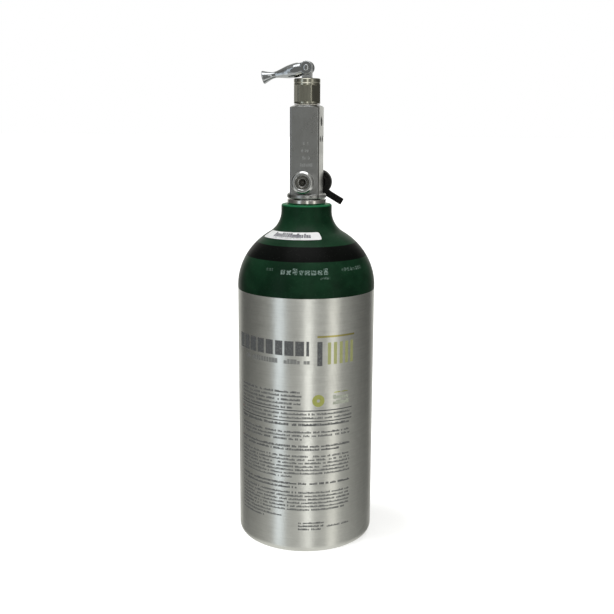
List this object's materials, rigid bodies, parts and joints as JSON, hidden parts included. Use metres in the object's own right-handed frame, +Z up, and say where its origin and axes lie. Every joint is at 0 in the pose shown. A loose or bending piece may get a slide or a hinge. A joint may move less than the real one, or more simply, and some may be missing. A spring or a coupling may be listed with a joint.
{
  "type": "oxygen cylinder",
  "caption": "Small aluminium medical oxygen cylinder with a pin-index post valve, toggle lever, front fill port, burst-disc relief plug and tethered dust cap.",
  "frame": {"origin": "centre of the base, on the plane the cylinder stands on", "axes": "+Z up along the cylinder's axis, +X towards the gas outlet face, -Y towards the fill port"},
  "size_m": [0.1112, 0.1112, 0.3882],
  "materials": {
    "cylinder_shell": "brushed, green painted shoulder with a black band",
    "shoulder_label": "white film label",
    "valve_body": "satin plated brass",
    "neck_collar": "satin",
    "seals": "matte",
    "polymer": "matte",
    "brass": "machined",
    "bright_metal": "polished",
    "steel": "machined",
    "clip_steel": "blackened",
    "dust_cap": "matte moulded rubber"
  },
  "bodies": {
    "cylinder": {"cylinder_shell": "cylinder_shell", "shoulder_label": "shoulder_label", "valve_body": "valve_body", "neck_collar": "neck_collar", "neck_o_ring": "seals", "debris_tube": "brass", "inlet_filter": "brass", "bonnet_nut": "bright_metal", "bonnet_gasket": "polymer", "stem_thrust_washer": "polymer", "stem_o_ring": "seals", "fill_port_body": "bright_metal", "fill_port_o_ring": "seals", "fill_seat_ring": "steel", "fill_spring": "steel", "relief_plug": "brass", "burst_disc": "brass", "relief_gasket": "polymer"},
    "stem": {"valve_stem": "steel", "lever_pin": "steel", "lever_pin_clip": "clip_steel"},
    "lever": {"toggle_lever": "bright_metal"},
    "plug": {"seat_plug": "brass", "seat_insert": "polymer"},
    "poppet": {"fill_poppet": "steel", "poppet_o_ring": "seals"},
    "cap": {"dust_cap": "dust_cap"}
  },
  "joints": [
    {"name": "stem_turn", "type": "hinge", "parent": "cylinder", "child": "stem", "pos_m": [0, 0, 0.37], "axis": [0, 0, 1], "range_deg": [0, 270]},
    {"name": "lever_flip", "type": "hinge", "parent": "stem", "child": "lever", "pos_m": [0, 0, 0.383], "axis": [0, 1, 0], "range_deg": [0, 101.7]},
    {"name": "plug_lift", "type": "slide", "parent": "stem", "child": "plug", "axis": [0, 0, 1], "range_m": [0, 0.00096]},
    {"name": "poppet_push", "type": "slide", "parent": "cylinder", "child": "poppet", "axis": [0, 1, 0], "range_m": [0, 0.002], "stiffness_N_per_m": 1500, "deforming": ["fill_spring"]},
    {"name": "cap_swing", "type": "hinge", "parent": "cylinder", "child": "cap", "pos_m": [0, 0.0124, 0.3121], "axis": [0, -1, 0], "range_deg": [0, 60]}
  ],
  "couplings": [
    {"joint": "plug_lift", "follows": "stem_turn", "m_per_rad": 0.0002021}
  ]
}
